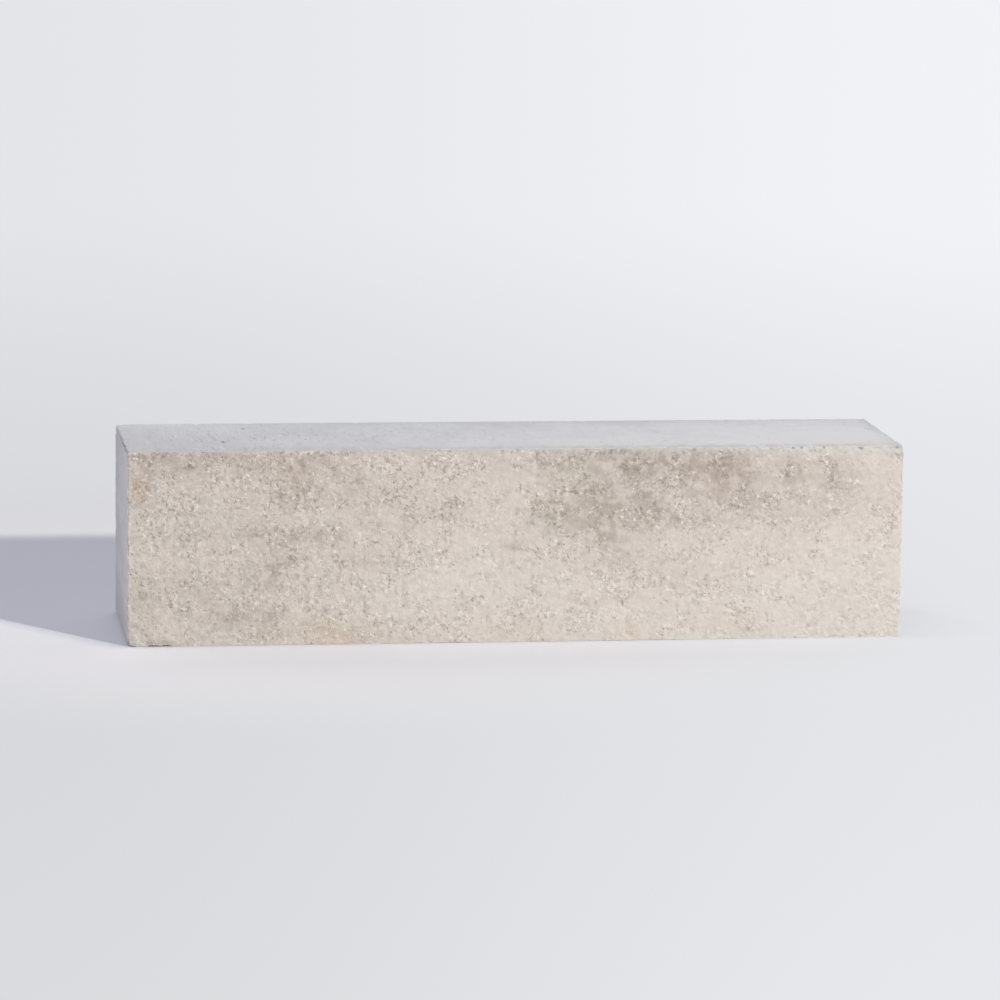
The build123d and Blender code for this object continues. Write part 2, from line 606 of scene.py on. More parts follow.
@dataclass(frozen=True)
class ToneClouds:
    """The concrete's uneven tone: clouds, warm and rosy patches on the face, and clouds on the top bed.

    A cloud with a strength under zero makes its side lighter, or greener in place of rosier.
    """

    drift: float = 10 * MM
    drift_size: float = 18 * MM
    drift_layers: int = 4
    tone: tuple[Cloud, ...] = placed_clouds(
        (0.05, 0.97, 40, 14, 0.6), (0.145, 0.97, 36, 12, 0.42), (0.06, 0.86, 26, 18, 0.15),
        (0.218, 0.85, 18, 18, 0.85), (0.245, 0.95, 18, 12, 0.45), (0.28, 0.84, 13, 14, 0.65),
        (0.015, 0.8, 8, 11, 0.9), (0.175, 0.57, 24, 6, 0.75), (0.23, 0.56, 14, 6, 0.6),
        (0.1, 0.57, 26, 10, 0.2), (0.35, 0.72, 26, 16, 0.4), (0.415, 0.67, 16, 15, 0.3),
        (0.3, 0.44, 20, 8, 0.3), (0.185, 0.38, 16, 13, 0.75), (0.21, 0.46, 14, 8, 0.4),
        (0.15, 0.34, 9, 9, 0.3), (0.135, 0.15, 16, 9, 0.7), (0.185, 0.14, 9, 8, 0.5),
        (0.175, 0.05, 12, 7, 0.3), (0.09, 0.28, 20, 14, 0.3), (0.018, 0.22, 12, 16, 0.65),
        (0.495, 0.5, 9, 5, 0.7), (0.535, 0.95, 12, 10, 0.6), (0.58, 0.86, 34, 22, 0.55),
        (0.55, 0.67, 20, 13, 0.65), (0.61, 0.66, 22, 18, 0.55), (0.635, 0.93, 11, 12, 0.8),
        (0.68, 0.9, 26, 16, 0.95), (0.665, 0.72, 26, 16, 0.7), (0.62, 0.47, 18, 14, 0.6),
        (0.64, 0.36, 10, 10, 0.3), (0.745, 0.91, 18, 14, 1.1), (0.785, 0.87, 18, 17, 1.0),
        (0.77, 0.73, 52, 13, 0.45), (0.85, 0.66, 44, 20, 0.35), (0.73, 0.62, 28, 6, 0.6),
        (0.85, 0.88, 13, 14, 0.75), (0.915, 0.87, 16, 14, 0.65), (0.9, 0.79, 10, 9, 0.35),
        (0.695, 0.37, 11, 13, 0.2), (0.69, 0.96, 18, 8, 0.4), (0.60, 0.57, 16, 10, 0.4),
        (0.68, 0.60, 18, 8, 0.35), (0.86, 0.42, 40, 14, 0.25), (0.16, 0.75, 16, 12, 0.3),
        (0.27, 0.60, 14, 9, 0.3), (0.80, 0.80, 10, 8, -0.3), (0.95, 0.92, 26, 10, -0.25),
        (0.64, 0.97, 60, 8, 0.35), (0.035, 0.99, 30, 3, 0.45), (0.46, 0.93, 40, 10, 0.18),
        (0.52, 0.10, 50, 10, -0.3), (0.61, 0.21, 30, 4, 0.4), (0.45, 0.34, 60, 28, -0.4),
        (0.6, 0.15, 90, 28, -0.3), (0.325, 0.2, 30, 20, -0.35), (0.93, 0.25, 90, 55, -0.6),
        (0.71, 0.71, 10, 6, -0.3), (0.86, 0.01, 110, 5, -0.6),
    )
    warmth: tuple[Cloud, ...] = placed_clouds(
        (0.012, 0.82, 7, 10, 0.9), (0.10, 0.97, 70, 10, 0.18), (0.215, 0.86, 20, 16, 0.12),
        (0.255, 0.06, 34, 8, 0.65), (0.50, 0.07, 22, 8, 0.40), (0.645, 0.04, 8, 5, 0.6),
        (0.79, 0.06, 16, 7, 0.40),
    )
    rose: tuple[Cloud, ...] = placed_clouds(
        (0.10, 0.95, 70, 16, 0.6), (0.215, 0.86, 24, 20, 0.6), (0.68, 0.91, 30, 16, 0.6),
        (0.77, 0.88, 34, 22, 1.0), (0.93, 0.75, 50, 40, 0.4), (0.57, 0.67, 40, 22, -0.7),
        (0.57, 0.92, 30, 16, -0.5),
    )
    bed_tone: tuple[Cloud, ...] = placed_clouds(
        (0.02, 0.40, 110, 90, 0.75), (0.03, 0.14, 44, 40, 0.90), (0.20, 0.07, 110, 24, 0.45),
        (0.24, 0.60, 70, 60, 0.25), (0.50, 0.60, 130, 90, 0.20), (0.64, 0.98, 200, 36, 0.60),
        (0.50, 1.00, 190, 9, 0.60), (0.62, 0.25, 150, 22, -0.25), (0.88, 0.40, 110, 70, -0.45),
        (1.00, 0.50, 10, 110, 0.90),
    )
    bed_pits: tuple[Cloud, ...] = placed_clouds(
        (0.08, 0.40, 60, 70, 1.0), (0.22, 0.45, 50, 60, 0.8), (0.36, 0.50, 60, 50, 0.5),
        (0.50, 0.60, 40, 40, 0.3),
    )

    def spread(
        self, clouds: tuple[Cloud, ...], points: np.ndarray, low: np.ndarray, high: np.ndarray, up: int
    ) -> np.ndarray:
        """Adds up clouds over one side.

        A cloud's strength falls off as e to the minus of its squared distance in half sizes, in a
        space that noise bends.

        Args:
            clouds: The clouds to add.
            points: Places on the skin.
            low: The block's lowest corner.
            high: The block's highest corner.
            up: The axis that a cloud's place upwards is measured along.

        Returns:
            The sum at each point.
        """
        turns = SolidNoise(Seed.CLOUD_BEND).bends(points, self.drift_size, 2, self.drift_layers)
        across = points[:, 0] + self.drift * turns[0]
        along = points[:, up] + self.drift * turns[1]
        total = np.zeros(len(points))
        for cloud in clouds:
            beside = (across - low[0] - cloud.across * (high[0] - low[0])) / cloud.wide
            above = (along - low[up] - cloud.up * (high[up] - low[up])) / cloud.tall
            total += cloud.strength * np.exp(-(beside**2) - above**2)
        return total


@dataclass(frozen=True)
class Pattern:
    """Layered noise: its largest cells' size, how many finer layers it has, and a scale for each axis."""

    size: float
    detail: float = 3.0
    stretch: Triple | None = None
    roughness: float = 0.55


class Signal:
    """A shader value: a socket that takes part in sums, each of which adds its Math node."""

    def __init__(self, graph: "Graph", socket: bpy.types.NodeSocket) -> None:
        """Wraps an output socket of the graph's tree."""
        self.graph = graph
        self.socket = socket

    def other(self, name: Any) -> "Signal":
        """Another output of the node that this value comes from."""
        return Signal(self.graph, self.socket.node.outputs[name])

    def maths(self, operation: str, *others: Any) -> "Signal":
        """Adds a Math node on this value and the others, in that order."""
        inputs = dict(enumerate((self, *others)))
        return self.graph.add("ShaderNodeMath", {"operation": operation}, inputs)

    def turned(self, operation: str, other: Any) -> "Signal":
        """Adds a Math node on the other value and this one, for a number that stands on the left."""
        return self.graph.add("ShaderNodeMath", {"operation": operation}, {0: other, 1: self})

    def __add__(self, other: Any) -> "Signal":
        """Sum of two values."""
        return self.maths("ADD", other)

    __radd__ = __add__

    def __sub__(self, other: Any) -> "Signal":
        """This value less the other."""
        return self.maths("SUBTRACT", other)

    def __rsub__(self, other: Any) -> "Signal":
        """The other value less this one."""
        return self.turned("SUBTRACT", other)

    def __mul__(self, other: Any) -> "Signal":
        """Product of two values."""
        return self.maths("MULTIPLY", other)

    __rmul__ = __mul__

    def __truediv__(self, other: Any) -> "Signal":
        """This value over the other."""
        return self.maths("DIVIDE", other)

    def between(self, low: float, high: float) -> "Signal":
        """Rises smoothly from 0 where this value is low to 1 where it is high, or falls if low is larger."""
        settings = {"interpolation_type": "SMOOTHSTEP"}
        limits = {"Value": self, "From Min": min(low, high), "From Max": max(low, high)}
        if low > high:
            limits |= {"To Min": 1.0, "To Max": 0.0}
        return self.graph.add("ShaderNodeMapRange", settings, limits)


class Graph:
    """A node tree that is written as expressions."""

    def __init__(self, tree: bpy.types.NodeTree) -> None:
        """Takes over a node tree and empties it."""
        self.tree = tree
        tree.nodes.clear()

    def add(self, kind: str, settings: dict[str, Any], inputs: dict[Any, Any], output: Any = 0) -> Signal:
        """Adds a node.

        Args:
            kind: The node's type.
            settings: The node's own properties, which are set first.
            inputs: Values or links for its sockets, by name or number.
            output: Name or number of the output that the result wraps.

        Returns:
            The chosen output as a signal, or the first input of a node that has no output.
        """
        node = self.tree.nodes.new(kind)
        for name, value in settings.items():
            setattr(node, name, value)
        for name, value in inputs.items():
            self.feed(node.inputs[name], value)
        return Signal(self, node.outputs[output] if len(node.outputs) else node.inputs[0])

    def feed(self, socket: bpy.types.NodeSocket, value: Any) -> None:
        """Links a signal to a socket, or sets the socket to a number, vector or colour."""
        if isinstance(value, Signal):
            self.tree.links.new(value.socket, socket)
        elif socket.type == "RGBA" and len(value) == 3:
            socket.default_value = (*value, 1.0)
        else:
            socket.default_value = value

    def mix(self, share: Any, first: Any, second: Any) -> Signal:
        """Blends two colours: the first where share is 0, and the second where it is 1."""
        settings = {"data_type": "RGBA", "clamp_factor": True}
        return self.add("ShaderNodeMix", settings, {0: share, 6: first, 7: second}, 2)

    def coated(self, colour: Any, *coats: tuple[Any, Any]) -> Any:
        """Lays coats over a colour in turn, each given by its share and its own colour."""
        for share, coat in coats:
            colour = self.mix(share, colour, coat)
        return colour

    def vector(self, operation: str, inputs: dict[Any, Any], output: Any = 0) -> Signal:
        """Adds a Vector Math node."""
        return self.add("ShaderNodeVectorMath", {"operation": operation}, inputs, output)

    def brightened(self, colour: Any, factor: Any) -> Signal:
        """Multiplies a colour by a value."""
        return self.vector("SCALE", {"Vector": colour, "Scale": factor})

    def shifted(self, place: Any, shift: Any) -> Signal:
        """Adds one vector to another."""
        return self.vector("ADD", {0: place, 1: shift})

    def stretched(self, place: Any, scale: Any) -> Signal:
        """Multiplies two vectors part by part."""
        return self.vector("MULTIPLY", {0: place, 1: scale})

    def distance(self, place: Any, middle: Triple) -> Signal:
        """Distance from a fixed place."""
        return self.vector("DISTANCE", {0: place, 1: middle}, "Value")

    def dot(self, place: Any, middle: Triple, reach: float, core_share: float) -> Signal:
        """A round dot: 1 in its core, which is a share of its reach, falling to 0 at the reach."""
        return self.distance(place, middle).between(reach, core_share * reach)

    def parts(self, vector: Signal) -> tuple[Signal, Signal, Signal]:
        """Splits a vector into its parts along X, Y and Z."""
        first = self.add("ShaderNodeSeparateXYZ", {}, {"Vector": vector}, "X")
        return first, first.other("Y"), first.other("Z")

    def place(self) -> Signal:
        """Reads the object's own coordinates."""
        return self.add("ShaderNodeTexCoord", {}, {}, "Object")

    def attribute(self, name: str) -> Signal:
        """Reads a number that the mesh carries at its vertices."""
        settings = {"attribute_type": "GEOMETRY", "attribute_name": name}
        return self.add("ShaderNodeAttribute", settings, {}, "Fac")

    def noise(self, place: Any, pattern: Pattern, output: str = "Fac") -> Signal:
        """Adds a noise node for a pattern."""
        if pattern.stretch:
            place = self.stretched(place, pattern.stretch)
        inputs = {"Vector": place, "Scale": 1 / pattern.size}
        inputs |= {"Detail": pattern.detail, "Roughness": pattern.roughness}
        return self.add("ShaderNodeTexNoise", {"noise_dimensions": "3D"}, inputs, output)

    def grains(self, place: Any, size: float) -> tuple[Signal, Signal]:
        """Cells round random grains: the distance to the nearest, and a random number of its own."""
        settings = {"voronoi_dimensions": "3D", "feature": "F1"}
        inputs = {"Vector": place, "Scale": 1 / size, "Randomness": 1.0}
        distance = self.add("ShaderNodeTexVoronoi", settings, inputs, "Distance")
        return distance, self.add("ShaderNodeSeparateColor", {}, {"Color": distance.other("Color")}, "Red")


@dataclass(frozen=True)
class Layer:
    """What one finish gives to the material: colour, roughness and height over the surface."""

    colour: Signal
    roughness: Signal
    height: Signal


@dataclass(frozen=True)
class GrainyFace:
    """Finish of the face: pale and dark sand in a cream binder, blended with taupe in clouds."""

    cream: Colour = srgb(211, 203, 196)
    taupe: Colour = srgb(166, 157, 149)
    chalk: Colour = srgb(211, 204, 198)
    rose: Colour = srgb(188, 172, 166)
    olive: Colour = srgb(176, 172, 156)
    warm: Colour = srgb(196, 174, 146)
    # A painted highlight: a lighter band along the face's left arris, where the arris catches light.
    left_rim_highlight: Colour = srgb(217, 209, 208)
    top_rim: Colour = srgb(186, 183, 181)
    right_rim: Colour = srgb(199, 197, 193)
    pale_grain: Colour = srgb(232, 226, 218)
    dark_grain: Colour = srgb(134, 119, 104)
    rim_change: Pair = (0.08, 0.22)

    wobble: float = 1.8 * MM
    pale_shift: Triple = (0.31, 0.17, 0.53)
    dark_shift: Triple = (0.73, 0.41, 0.19)
    wobble_noise: Pattern = Pattern(1.8 * MM, 2.0)
    rough_noise: Pattern = Pattern(10 * MM, stretch=(0.7, 1.0, 1.0))
    patch_noise: Pattern = Pattern(16 * MM, stretch=(0.7, 1.0, 1.0))
    blotch_noise: Pattern = Pattern(8 * MM, 5.0)
    lump_noise: Pattern = Pattern(5 * MM)
    rugged_noise: Pattern = Pattern(3.4 * MM, 4.0)
    sand_noise: Pattern = Pattern(2.7 * MM, 2.5)

    rough_range: Pair = (0.58, 0.80)
    rough_grit_share: float = 0.2
    even_range: Pair = (0.98, 1.10)
    loose_share: float = 0.35
    loose_even_share: float = 0.17
    loose_rough_share: float = 0.75
    rough_even_share: float = 0.33

    blotch_range: Pair = (0.42, 0.58)
    cloud_share: float = 0.25
    blotch_share: float = 0.50
    patch_share: float = 0.4
    tone_base: float = 0.12
    tone_range: Pair = (-0.2, 1.1)

    pale_range: Pair = (0.60, 0.67)
    pale_rough_share: float = 0.03
    dark_range: Pair = (0.61, 0.68)
    dark_rough_share: float = 0.04
    dark_cloud_share: float = 0.05
    spot_range: Pair = (0.38, 0.62)
    spot_share: float = 0.17

    chalk_range: Pair = (0.0, -0.6)
    rose_range: Pair = (0.0, 1.0)
    olive_range: Pair = (0.0, -1.0)
    rose_share: float = 0.3
    olive_share: float = 0.18
    warm_share: float = 0.5
    left_rim_highlight_share: float = 0.7
    top_rim_share: float = 0.85
    pale_share: float = 0.64
    dark_share: float = 0.44
    brightness: float = 1.005
    painted_shade_share: float = 0.12

    rugged_height: float = 1.5
    sand_height: float = 0.12
    roughness: float = 0.88
    roughness_share: float = 0.1

    def layer(self, graph: Graph, place: Signal) -> Layer:
        """Adds the face's nodes.

        The face has rough and flat patches, which are less marked where there is more grit. The
        rough ones are rugged, with pale and dark sand in the binder. A cloud is made up of taupe
        blotches.

        Args:
            graph: The material's graph.
            place: Object coordinates.

        Returns:
            The face's colour, roughness and height.
        """
        names = ("cloud", "warmth", "rose", "painted_shade", "top_rim", "left_rim_highlight", "grit")
        cloud, warmth, rose, painted_shade, top_rim, left_rim_highlight, grit = (graph.attribute(name) for name in names)
        wobble = graph.shifted(graph.noise(place, self.wobble_noise, "Color"), (-0.5, -0.5, -0.5))
        bent = graph.shifted(place, graph.brightened(wobble, self.wobble))
        pale_place = graph.shifted(bent, self.pale_shift)
        dark_place = graph.shifted(bent, self.dark_shift)
        across, _, _ = graph.parts(place)

        gritty = graph.noise(place, self.rough_noise) + grit * self.rough_grit_share
        rough = gritty.between(*self.rough_range)
        patches = graph.noise(place, self.patch_noise)
        blotches = graph.noise(bent, self.blotch_noise).between(*self.blotch_range)
        lumps = graph.noise(pale_place, self.lump_noise)
        rugged = graph.noise(bent, self.rugged_noise)
        pale_sand = graph.noise(pale_place, self.sand_noise) + rough * self.pale_rough_share
        dark_sand = graph.noise(dark_place, self.sand_noise) + rough * self.dark_rough_share
        dark_sand = dark_sand + cloud * self.dark_cloud_share

        even = grit.between(*self.even_range)
        roughened = rough * (self.loose_rough_share - even * self.rough_even_share)
        loose = grit * (self.loose_share + even * self.loose_even_share + roughened)
        pale = pale_sand.between(*self.pale_range) * loose
        dark = dark_sand.between(*self.dark_range) * loose
        clouded = cloud * (self.cloud_share + blotches * self.blotch_share)
        tone = clouded + (patches - 0.5) * self.patch_share + self.tone_base
        rim = graph.mix(across.between(*self.rim_change), self.top_rim, self.right_rim)
        colour = graph.coated(
            self.cream,
            (tone.between(*self.tone_range), self.taupe),
            (cloud.between(*self.chalk_range), self.chalk),
            (rose.between(*self.rose_range) * self.rose_share, self.rose),
            (rose.between(*self.olive_range) * self.olive_share, self.olive),
            (warmth * self.warm_share, self.warm),
            # The left rim is a painted highlight along the face's left arris.
            (left_rim_highlight * self.left_rim_highlight_share, self.left_rim_highlight),
            (top_rim * self.top_rim_share, rim),
            (pale * self.pale_share, self.pale_grain),
            (dark * self.dark_share, self.dark_grain),
        )
        spotted = (lumps.between(*self.spot_range) - 0.5) * self.spot_share * loose
        # Painted shade: darker where the face is sunk or chipped and on its top arris.
        colour = graph.brightened(colour, self.brightness - painted_shade * self.painted_shade_share + spotted)
        height = ((rugged - 0.5) * self.rugged_height + (pale - dark) * self.sand_height) * loose
        return Layer(colour, self.roughness + (lumps - 0.5) * self.roughness_share, height)


@dataclass(frozen=True)
class SmoothSide:
    """Finish of the beds, ends and back: light grey concrete as it left the mould."""

    grey: Colour = srgb(211, 211, 212)
    # The darker grey of the sides' uneven tone, which on the left end also serves as painted shade.
    shadow: Colour = srgb(192, 191.4, 193.5)
    worn: Colour = srgb(185, 180, 172)
    crumb: Colour = srgb(228, 228, 227)
    # Dark grey of air holes, grit and pits, also used for the thin line of painted shade along the left
    # end's top.
    hole: Colour = srgb(118, 117, 120)

    streak_noise: Pattern = Pattern(24 * MM, 2.5, (0.3, 0.3, 1.0))
    film_noise: Pattern = Pattern(7 * MM, 4.0, (1.0, 0.35, 1.0))
    lump_noise: Pattern = Pattern(3.6 * MM, 2.0, (1.0, 0.2, 1.0))
    sand_noise: Pattern = Pattern(1.3 * MM)
    hole_size: float = 7.5 * MM
    hole_reach_range: Pair = (0.15, 0.07)
    hole_base: float = 0.14
    hole_pitted_share: float = 0.5
    hole_edge: float = 0.05
    pits: tuple[Triple, ...] = ((-0.2019, 0.0454, 0.15), (-0.2233, -0.0262, 0.15))
    pit_stretch: Triple = (1.0, 0.35, 1.0)
    pit_reach: float = 2.4 * MM
    pit_core_share: float = 0.3

    tone_base: float = 0.35
    cloud_share: float = 0.6
    film_share: float = 0.6
    worn_base: float = 0.3
    worn_film_share: float = 0.5
    worn_film_range: Pair = (0.3, 0.7)
    hole_share: float = 0.7
    grit_range: Pair = (0.56, 0.72)
    grit_base: float = 0.03
    grit_pitted_share: float = 0.4
    crumb_range: Pair = (0.42, 0.32)
    crumb_share: float = 0.5
    lip_shade_share: float = 0.85
    pit_share: float = 0.8
    sand_share: float = 0.06
    lump_share: float = 0.4
    painted_shade_share: float = 0.15

    film_height: float = 0.036
    sand_height: float = 0.024
    lump_height: float = 0.5
    hole_depth: float = 0.24
    roughness: float = 0.74
    roughness_share: float = 0.25

    def pit_coats(self, graph: Graph, place: Signal) -> list[tuple[Signal, Colour]]:
        """Dark coats for the placed pits, which are longer from the face to the back."""
        short = graph.stretched(place, self.pit_stretch)
        centres = [tuple(np.multiply(middle, self.pit_stretch).tolist()) for middle in self.pits]
        dots = [graph.dot(short, centre, self.pit_reach, self.pit_core_share) for centre in centres]
        return [(dot * self.pit_share, self.hole) for dot in dots]

    def layer(self, graph: Graph, place: Signal) -> Layer:
        """Adds the smooth sides' nodes.

        Streaks, film and lumps are drawn out from the face to the back, and the streaks along the
        length as well. Air holes, lumps and crumbs are stronger where the mesh is marked as pitted.

        Args:
            graph: The material's graph.
            place: Object coordinates.

        Returns:
            The sides' colour, roughness and height.
        """
        names = ("cloud", "pitted", "front_strip", "lip_shade", "painted_shade")
        cloud, pitted, front_strip, lip_shade, painted_shade = (graph.attribute(name) for name in names)
        patterns = (self.streak_noise, self.film_noise, self.lump_noise, self.sand_noise)
        streaks, film, lumps, sand = (graph.noise(place, pattern) for pattern in patterns)
        hole_distance, hole_own = graph.grains(place, self.hole_size)

        # On the left end the cloud number carries painted shade, so the tone is darker there to the back and
        # near the floor.
        tone = cloud * self.cloud_share + (streaks - 0.5) + (film - 0.5) * self.film_share + self.tone_base
        worn = front_strip * (self.worn_base + film.between(*self.worn_film_range) * self.worn_film_share)
        held = pitted * self.hole_pitted_share + self.hole_base - hole_own
        hole = held.between(0.0, self.hole_edge) * hole_distance.between(*self.hole_reach_range)
        grit = lumps.between(*self.grit_range) * (self.grit_base + pitted * self.grit_pitted_share)
        colour = graph.coated(
            self.grey,
            (tone.between(0.0, 1.0), self.shadow),
            (worn, self.worn),
            (hole * self.hole_share, self.hole),
            (grit, self.hole),
            (lumps.between(*self.crumb_range) * pitted * self.crumb_share, self.crumb),
            # A thin dark line of painted shade along the left end's top, as under a slight lip.
            (lip_shade * self.lip_shade_share, self.hole),
            *self.pit_coats(graph, place),
        )
        uneven = (sand - 0.5) * self.sand_share + (lumps - 0.5) * pitted * self.lump_share
        # Painted shade: darker where the side is sunk or chipped and low on the left end near the floor.
        colour = graph.brightened(colour, 1.0 + uneven - painted_shade * self.painted_shade_share)
        height = film * self.film_height + sand * self.sand_height
        height = height + lumps * pitted * self.lump_height - hole * self.hole_depth
        return Layer(colour, self.roughness + (film - 0.5) * self.roughness_share, height)


@dataclass(frozen=True)
class BlockConcrete:
    """The block's one material: the grainy finish on the face and the smooth one everywhere else."""

    face: GrainyFace = GrainyFace()
    side: SmoothSide = SmoothSide()
    relief: float = 1.0 * MM
    specular: float = 0.35
    notch_colour: Colour = srgb(124, 117, 110)
    notch_reach: float = 1.7 * MM
    notch_core_share: float = 0.4
    notch_share: float = 0.6
    notches: tuple[Triple, ...] = (
        (0.2130, -0.0740, 0.1490),
        (0.2196, -0.0740, 0.1490),
        (0.2370, -0.0740, 0.1490),
        (0.2652, -0.0742, 0.1488),
        (0.2666, -0.0745, 0.1480),
        (0.2946, -0.0740, 0.1488),
    )

    def material(self) -> bpy.types.Material:
        """Builds the material, which blends the two finishes by the mesh's own share of facing."""
        made = bpy.data.materials.new("block_concrete")
        made.use_nodes = True
        graph = Graph(made.node_tree)
        place = graph.place()
        face, side = self.face.layer(graph, place), self.side.layer(graph, place)
        facing = graph.attribute("facing")
        dots = [graph.dot(place, middle, self.notch_reach, self.notch_core_share) for middle in self.notches]
        notches = [(dot * self.notch_share, self.notch_colour) for dot in dots]
        height = side.height + (face.height - side.height) * facing
        bump = {"Strength": 1.0, "Distance": self.relief, "Height": height}
        shader = {
            "Base Color": graph.coated(side.colour, (facing, face.colour), *notches),
            "Roughness": side.roughness + (face.roughness - side.roughness) * facing,
            "Specular IOR Level": self.specular,
            "Normal": graph.add("ShaderNodeBump", {}, bump),
        }
        surface = graph.add("ShaderNodeBsdfPrincipled", {}, shader)
        graph.add("ShaderNodeOutputMaterial", {}, {"Surface": surface})
        return made


@dataclass
class WallBlock:
    """The block: its form, the relief of its sides, its worn arrises, its colour clouds and finish."""

    low: np.ndarray
    high: np.ndarray
    face_relief: FaceRelief = FaceRelief()
    side_relief: SideRelief = SideRelief()
    wear: ArrisWear = ArrisWear()
    clouds: ToneClouds = ToneClouds()
    finish: BlockConcrete = BlockConcrete()
    facing_range: Pair = (0.30, 0.70)
    facing_ragged_size: float = 3 * MM
    facing_ragged_share: float = 0.3
    side_range: Pair = (0.3, 0.8)
    rim_ragged_size: float = 5 * MM
    rim_ragged_layers: int = 3
    top_rim_width: float = 4.4 * MM
    right_rim_width: float = 9.0 * MM
    widening_range: Pair = (0.65, 0.85)
    weak_rim_range: Pair = (0.04, 0.16)
    weak_rim_share: float = 0.5
    left_rim_highlight_width: float = 4.0 * MM
    left_grit: float = 1.13
    right_grit: float = 0.82
    front_strip_width: float = 24 * MM
    strip_ragged_share: float = 0.4
    # Painted shade on the left end, darker near the floor and to the back.
    foot_shade_height: float = 50 * MM
    end_shade_start: float = 0.2
    foot_shade_base: float = 0.5
    # A thin dark line of painted shade along the left end's top, as under a slight lip.
    lip_shade_width: float = 3.0 * MM
    lip_shade_fading_range: Pair = (0.35, 0.75)
    lip_shade_fading_share: float = 0.7
    side_chip_share: float = 0.3
    deep_percentile: float = 98
    # Shares of the painted shade on the face's top arris and low on the left end near the floor.
    top_arris_shade_share: float = 0.6
    end_foot_shade_share: float = 0.35
    end_foot_shade_front: float = 0.6
    end_foot_shade_growth: float = 2.0
    most_painted_shade: float = 1.5
    skin: Skin = field(init=False)

    def __post_init__(self) -> None:
        """Works out the skin before its relief."""
        self.skin = BlockForm(self.low, self.high).skin()

    def facing(self) -> np.ndarray:
        """Share of the grainy finish: 1 on the face, 0 on the sides, with a ragged change at the arris."""
        ragged = SolidNoise(Seed.FACE_BORDER).layered(self.skin.points, self.facing_ragged_size) - 0.5
        forward = -self.skin.normals[:, 1] + self.facing_ragged_share * ragged
        return smooth_between(*self.facing_range, forward)

    def shares(self, places: np.ndarray) -> np.ndarray:
        """Turns places into shares of the block's box."""
        return (places - self.low) / (self.high - self.low)

    def spread(self, clouds: tuple[Cloud, ...], up: int) -> np.ndarray:
        """Adds up clouds over the side whose second axis is given."""
        return self.clouds.spread(clouds, self.skin.points, self.low, self.high, up)

    def side_numbers(self, ragged: np.ndarray) -> dict[str, np.ndarray]:
        """Tone, marks and painted shade of the top bed and the left end.

        The bed has clouds, pits and a worn strip along the face. The end has painted shade that grows
        to the back and near the floor, and a thin dark line of painted shade, as under a slight lip,
        runs along its top, weaker behind.

        Args:
            ragged: Noise from -0.5 to 0.5 that frays the borders.

        Returns:
            The numbers at each vertex, by name.
        """
        points, normals = self.skin.points, self.skin.normals
        backward = self.shares(points)[:, 1]
        on_bed = smooth_between(*self.side_range, normals[:, 2])
        on_end = smooth_between(*self.side_range, -normals[:, 0])
        # Painted shade on the left end: darker near the floor and to the back.
        foot_shade = on_end * (1 - smooth_between(0, self.foot_shade_height, points[:, 2] - self.low[2]))
        end_shade = on_end * (backward - self.end_shade_start) + foot_shade * (self.foot_shade_base + backward)
        from_face = (points[:, 1] - self.low[1]) / self.front_strip_width + self.strip_ragged_share * ragged
        # A thin dark line of painted shade runs along the end's top, as under a slight lip.
        from_top = (self.high[2] - points[:, 2]) / self.lip_shade_width + ragged
        fading = self.lip_shade_fading_share * smooth_between(*self.lip_shade_fading_range, backward)
        return {
            "side_tone_and_shade": on_bed * self.spread(self.clouds.bed_tone, up=1) + end_shade,
            "end_foot_shade": foot_shade * (self.end_foot_shade_front + self.end_foot_shade_growth * backward),
            "front_strip": on_bed * (1 - smooth_between(0, 1, from_face)),
            "lip_shade": on_end * (1 - smooth_between(0, 1, from_top)) * (1 - fading),
            "pitted": np.clip(on_bed * self.spread(self.clouds.bed_pits, up=1), 0, 1),
        }

    def face_numbers(self, ragged: np.ndarray) -> dict[str, np.ndarray]:
        """Tone, tints, grit and pale rims of the face, the left one a painted highlight.

        The rim along the top widens to the right and is weak at its left end.

        Args:
            ragged: Noise from -0.5 to 0.5 that frays the borders.

        Returns:
            The numbers at each vertex, by name.
        """
        points = self.skin.points
        rightward = self.shares(points)[:, 0]
        widening = self.right_rim_width - self.top_rim_width
        width = self.top_rim_width + widening * smooth_between(*self.widening_range, rightward)
        from_top = (self.high[2] - points[:, 2]) / width + ragged
        strengthening = (1 - self.weak_rim_share) * smooth_between(*self.weak_rim_range, rightward)
        from_left = (points[:, 0] - self.low[0]) / self.left_rim_highlight_width + ragged
        return {
            "face_tone": self.spread(self.clouds.tone, up=2),
            "warmth": np.clip(self.spread(self.clouds.warmth, up=2), 0, 1),
            "rose": self.spread(self.clouds.rose, up=2),
            "grit": self.left_grit + (self.right_grit - self.left_grit) * rightward,
            "top_rim": (1 - smooth_between(0, 1, from_top)) * (self.weak_rim_share + strengthening),
            # A painted highlight along the face's left arris.
            "left_rim_highlight": 1 - smooth_between(0, 1, from_left),
        }

    def numbers(self) -> tuple[np.ndarray, dict[str, np.ndarray]]:
        """Works out the worn places and the numbers that the material reads at each vertex.

        The painted shade is the sunk depth over nearly the deepest, more on the face's top arris, which is
        where the normal's forward and upward parts multiply to most, and at the left end's lower part.

        Returns:
            The vertices' places, and the attributes by name.
        """
        skin = self.skin
        facing = self.facing()
        face_depth = self.face_relief.depth(skin.points)
        side_depth = self.side_relief.depth(skin.points)
        relief = side_depth + (face_depth - side_depth) * facing
        relief -= np.where(facing > 0.5, face_depth.min(), side_depth.min())
        worn, chipped = self.wear.depth(skin, self.low, self.high)
        places = skin.points - np.clip(relief + worn, 0, None)[:, None] * skin.normals

